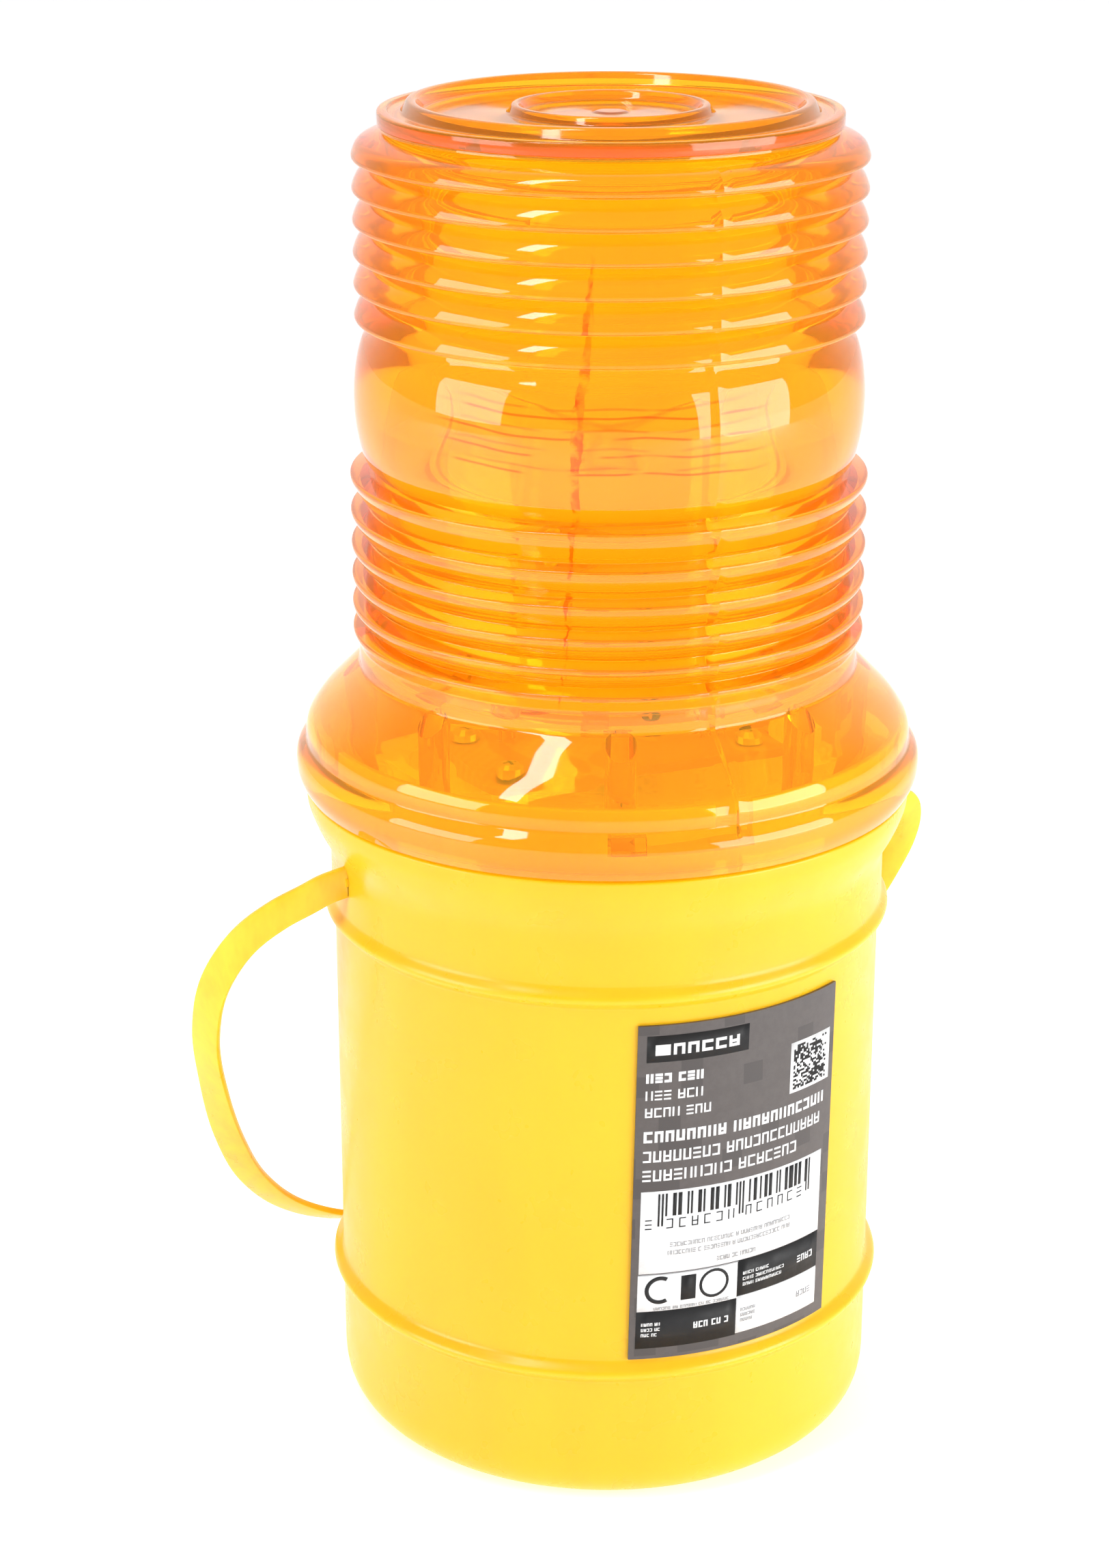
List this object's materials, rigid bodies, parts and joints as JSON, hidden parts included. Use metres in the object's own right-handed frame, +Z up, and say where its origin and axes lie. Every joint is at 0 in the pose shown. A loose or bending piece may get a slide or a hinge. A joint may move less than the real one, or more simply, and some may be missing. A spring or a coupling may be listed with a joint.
{
  "type": "barricade warning lantern",
  "caption": "Battery warning lantern for road barricades: amber drum lens on a yellow bucket body with a carrying strap.",
  "frame": {"origin": "centre of the flat foot, on the surface it stands on", "axes": "+Z up along the lantern's axis; the strap's ends are on the X axis and the lens's parting line and the label face -Y"},
  "size_m": [0.1361, 0.111, 0.2325],
  "materials": {
    "body_yellow": "smooth moulded, glossy",
    "lens_amber": "clear amber, polished",
    "strap_plastic": "smooth flexible strip",
    "label_print": "printed, satin",
    "pad_foam": "closed-cell foam",
    "battery_sleeve": "printed sleeve",
    "black_plastic": "moulded",
    "white_plastic": "moulded",
    "bright_steel": "plated",
    "contact_brass": "stamped strip",
    "carrier_plastic": "moulded",
    "board_laminate": "glass-fibre board",
    "led_epoxy": "clear epoxy",
    "resistor_body": "lacquered, colour bands",
    "sensor_body": "moulded",
    "wire_red": "insulated wire",
    "wire_black": "insulated wire",
    "seal_rubber": "soft ring"
  },
  "bodies": {
    "body": {"body_shell": "body_yellow", "label": "label_print", "battery_pad": "pad_foam", "battery_case": "battery_sleeve", "battery_lid": "black_plastic", "battery_spring_plus": "bright_steel", "battery_spring_minus": "bright_steel", "contact_strip_plus": "contact_brass", "contact_strip_minus": "contact_brass", "circuit_carrier": "carrier_plastic", "circuit_board": "board_laminate", "board_screw_1": "bright_steel", "board_screw_2": "bright_steel", "board_screw_3": "bright_steel", "board_screw_4": "bright_steel", "led_1": "led_epoxy", "led_2": "led_epoxy", "flasher_chip": "black_plastic", "resistor_1": "resistor_body", "resistor_2": "resistor_body", "timing_capacitor": "black_plastic", "driver_transistor": "black_plastic", "light_sensor": "sensor_body", "switch_housing": "carrier_plastic", "wire_plus": "wire_red", "wire_minus": "wire_black", "lens_seal": "seal_rubber"},
    "lens": {"lens": "lens_amber"},
    "strap": {"strap_handle": "strap_plastic"},
    "slider": {"switch_slider": "white_plastic"}
  },
  "joints": [
    {"name": "lens_turn", "type": "hinge", "parent": "body", "child": "lens", "pos_m": [0, 0, 0.12], "axis": [0, 0, 1], "range_deg": [0, 20]},
    {"name": "strap_swing", "type": "hinge", "parent": "body", "child": "strap", "pos_m": [0, 0, 0.1042], "axis": [1, 0, 0], "range_deg": [0, 120]},
    {"name": "switch_slide", "type": "slide", "parent": "body", "child": "slider", "axis": [0, 1, 0], "range_m": [0, 0.0028]}
  ]
}
